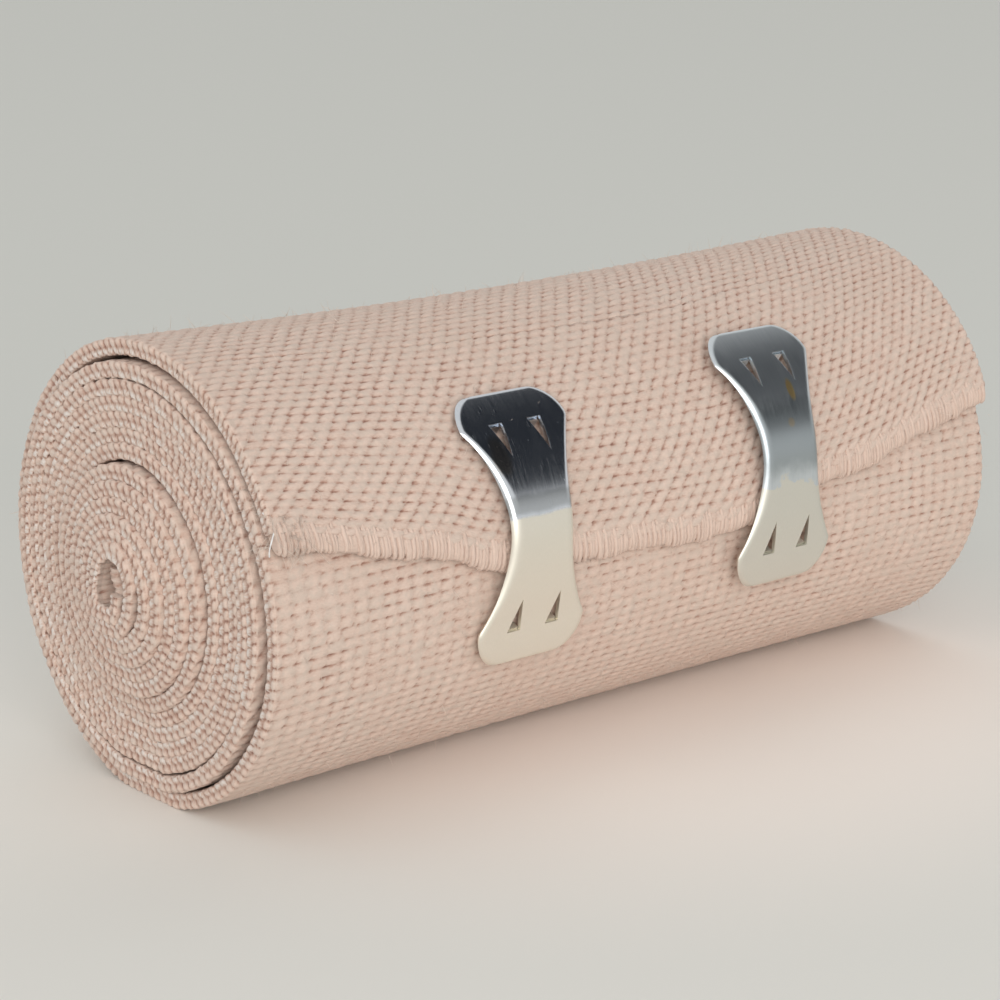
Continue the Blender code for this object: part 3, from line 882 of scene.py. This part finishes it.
def metalFinish(name, marks):  # rolled aluminium, brushed along the clip, with its own stains and painted dark reflection bands across its bend
    finish = Finish(name, Metallic=1.0)
    flat = finish.node("ShaderNodeUVMap", dict(uv_map="plate"))
    split = finish.node("ShaderNodeSeparateXYZ", None, {0: flat}).socket.node
    side, along = (Wire(finish, split.outputs[i]) for i in (0, 1))  # mm
    brushed = finish.noise(flat, 2.2, 4.0, (4.5, 0.16, 1))
    grain = finish.noise(flat, 6.0, 3.0, (2.6, 0.5, 1))
    cloudy = finish.noise(flat, 0.55, 3.0)
    scratch = finish.noise(flat, 1.3, 2.0, (6.0, 0.8, 1))
    border = along + (cloudy - 0.5) * marks["blotch"] + side * marks["borderLean"]
    matte = finish.range(border, marks["border"] - marks["soft"], marks["border"] + marks["soft"])
    polished = marks["gloss"] + brushed * 0.16 + finish.range(scratch, 0.62, 0.70) * 0.06
    rough = polished * (1 - matte) + matte * (0.40 + grain * 0.16)
    cream = finish.mix(grain * 0.5, marks["lower"] + (1,), tuple(c * 0.88 for c in marks["lower"]) + (1,))
    steel = finish.mix(brushed * 0.6, marks["upper"] + (1,), (0.86, 0.87, 0.88, 1))
    colour = finish.mix(matte, steel, cream)
    # the small marks are stains; the wide grey bands are painted dark reflection
    for (s, a, wide, tall), tint, strength in marks["stainsAndPaintedDarkBands"]:
        ds, da = (side - s) / wide, (along - a) / tall
        near = ds * ds + da * da + (cloudy - 0.5) * 1.2
        colour = finish.mix((1 - finish.range(near, 0.3, 1.3)) * strength, colour, tint + (1,))
    height = brushed * 0.5 + grain * 0.25 + scratch * 0.25
    bump = finish.node("ShaderNodeBump", None, {"Strength": 0.10, "Distance": 0.00003, "Height": height})
    return finish.feed(Base_Color=colour, Roughness=rough, Normal=bump)


# The border is where the dark upper part ends and the cream lower part starts, in mm from the top;
# a mark is its middle and half sizes in mm, its tint and its strength: the small ones are stains, the grey
# bands across the whole width are painted dark reflection at the bend
clips = (
    dict(
        name="clip_near", across=-0.0140, topAngle=44.9, lean=0.0, side=creasedSide,
        marks=dict(
            gloss=0.12, border=9.9, soft=0.12, blotch=0.35, borderLean=0.0,
            upper=(0.62, 0.66, 0.72), lower=(0.92, 0.88, 0.785),
            stainsAndPaintedDarkBands=(
                ((-2.6, 5.2, 0.9, 1.8), (0.42, 0.30, 0.16), 0.55),
                # painted dark reflection: a grey band across the whole plate at its crease
                ((0, 9.0, 9, 0.75), (0.42, 0.44, 0.45), 0.8),
            ),
        ),
    ),
    dict(
        name="clip_far", across=0.0123, topAngle=41.3, lean=-1.0, side=bowedSide,
        marks=dict(
            gloss=0.24, border=13.2, soft=0.12, blotch=4.0, borderLean=-0.05,
            upper=(0.60, 0.66, 0.70), lower=(0.80, 0.785, 0.715),
            stainsAndPaintedDarkBands=(
                # painted dark reflection: a grey band across the whole plate at its bend
                ((0, 9.6, 9, 3.1), (0.37, 0.41, 0.43), 0.85),
                ((1.3, 6.0, 0.40, 0.9), (1.0, 0.74, 0.34), 1.0),
                ((0.3, 8.6, 0.4, 0.4), (0.60, 0.48, 0.30), 0.6),
            ),
        ),
    ),
)


def addClip(look):
    plate = Plate(look["across"], look["topAngle"], look["lean"], look["side"])
    parts = [clipBlank()] + [clipTooth(place) for place in holePlaces()]
    bpy.ops.object.select_all(action="DESELECT")
    for part in parts:
        part.select_set(True)
    bpy.context.view_layer.objects.active = parts[0]
    bpy.ops.object.join()
    piece = parts[0]
    piece.name = piece.data.name = look["name"] + "_plate"
    mesh = piece.data
    flat = np.empty(len(mesh.vertices) * 3, np.float32)
    mesh.vertices.foreach_get("co", flat)
    flat = flat.reshape(-1, 3).astype(float)
    uvLayer = mesh.uv_layers.get("plate") or mesh.uv_layers.new(name="plate")
    corners = np.empty(len(mesh.loops), np.int32)
    mesh.loops.foreach_get("vertex_index", corners)
    uvLayer.data.foreach_set("uv", (flat[corners, :2] * 1000).astype(np.float32).ravel())
    for layer in [layer.name for layer in mesh.uv_layers if layer.name != "plate"]:
        mesh.uv_layers.remove(mesh.uv_layers[layer])
    bent = plate.place(flat[:, 0], flat[:, 1], flat[:, 2])
    mesh.vertices.foreach_set("co", bent.astype(np.float32).ravel())
    chooseOnly(piece)
    bpy.ops.object.mode_set(mode="EDIT")
    bpy.ops.mesh.select_all(action="SELECT")
    bpy.ops.mesh.normals_make_consistent(inside=False)
    bpy.ops.object.mode_set(mode="OBJECT")
    bpy.ops.object.shade_smooth_by_angle(angle=math.radians(42))
    mesh.materials.clear()
    mesh.materials.append(metalFinish("aluminium_" + look["name"], look["marks"]))
    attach(piece, "root")
    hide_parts(look["name"])
    print(piece.name, len(mesh.polygons), "faces")


for look in clips:
    addClip(look)


# Floor and light
studio = dict(
    floorColour=(0.805, 0.795, 0.755),
    # the far colour is painted shade, darker where the lamp's light falls off with distance
    floorFarPaintedShade=(0.70, 0.705, 0.668),
    farFrom=(0.21, 0.31),  # distance in front of the camera over which the floor's colour is darkened, painted shade for the lamp's light falling off
    floorUnderPaintedBounce=(0.98, 0.915, 0.86),  # a painted pool of the light that comes back from the cloth
    underCentre=(0.008, -0.012),
    underRadii=(0.048, 0.040),
    skyStrength=0.77,
    sky=(1.0, 1.0, 0.985),
    backdrop=(0.62, 0.63, 0.60),  # the sky as the camera sees it
    dark=(0.018, 0.022, 0.030),
    darkToward=(0.65, -0.42, 0.63),
    darkWithin=(0.86, 0.93),
    key=dict(place=(-0.62, -1.00, 0.33), size=0.9, power=8.0, colour=(1.0, 0.985, 0.96)),
)


def addFloor():
    bpy.ops.object.select_all(action="DESELECT")
    bpy.ops.mesh.primitive_circle_add(vertices=96, radius=4.0, fill_type="NGON")
    floor = bpy.context.object
    floor.name = "studio_floor"
    finish = Finish("studio_floor", Roughness=0.9, Specular_IOR_Level=0.2)
    place = finish.node("ShaderNodeTexCoord", output="Object")
    ahead = Vector((camera["forward"][0], camera["forward"][1], 0)).normalized()
    away = finish.node("ShaderNodeVectorMath", dict(operation="DOT_PRODUCT"), {0: place, 1: ahead}, "Value")
    away = away - Vector(camera["place"]).dot(ahead)
    # painted shade: the floor's colour darkens with distance from the camera
    far = finish.range(away + (finish.noise(place, 9.0, 2.0) - 0.5) * 0.03, *studio["farFrom"])
    colour = finish.mix(far, studio["floorColour"] + (1,), studio["floorFarPaintedShade"] + (1,))
    # painted pool of bounced light: the floor's colour is lighter in an oval under the roll
    wide, deep = studio["underRadii"]
    moved = (-studio["underCentre"][0] / wide, -studio["underCentre"][1] / deep, 0)
    sockets = {"Vector": place, "Scale": (1 / wide, 1 / deep, 0), "Location": moved}
    near = finish.node("ShaderNodeMapping", None, sockets)
    near =finish.node("ShaderNodeVectorMath", dict(operation="LENGTH"), {0: near}, "Value")
    colour = finish.mix(finish.range(near, 0.35, 1.25, 1.0, 0.0), colour, studio["floorUnderPaintedBounce"] + (1,))
    floor.data.materials.append(finish.feed(Base_Color=colour))


def addLight():
    world = bpy.data.worlds.new("studio")
    scene.world = world
    world.use_nodes = True
    tree = world.node_tree
    tree.nodes.clear()
    finish = Finish.__new__(Finish)
    finish.tree = tree
    way = finish.node("ShaderNodeTexCoord", output="Generated")
    aim = Vector(studio["darkToward"]).normalized()
    facing = finish.node("ShaderNodeVectorMath", dict(operation="DOT_PRODUCT"), {0: way, 1: aim}, "Value")
    darkened = finish.range(facing, *studio["darkWithin"])
    colour = finish.mix(darkened, studio["sky"] + (1,), studio["dark"] + (1,))
    seen = finish.node("ShaderNodeLightPath", output="Is Camera Ray")
    colour = finish.mix(seen, colour, studio["backdrop"] + (1,))
    light = finish.node("ShaderNodeBackground", None, {"Color": colour, "Strength": studio["skyStrength"]})
    out = tree.nodes.new("ShaderNodeOutputWorld")
    tree.links.new(light.socket, out.inputs["Surface"])
    key = studio["key"]
    lamp = bpy.data.lights.new("softbox", "AREA")
    lamp.shape, lamp.size, lamp.energy, lamp.color = "SQUARE", key["size"], key["power"], key["colour"]
    holder = bpy.data.objects.new("softbox", lamp)
    scene.collection.objects.link(holder)
    holder.location = key["place"]
    holder.rotation_euler = (-Vector(key["place"])).to_track_quat("-Z", "Y").to_euler()


addFloor()
addLight()
print("floor and light set")
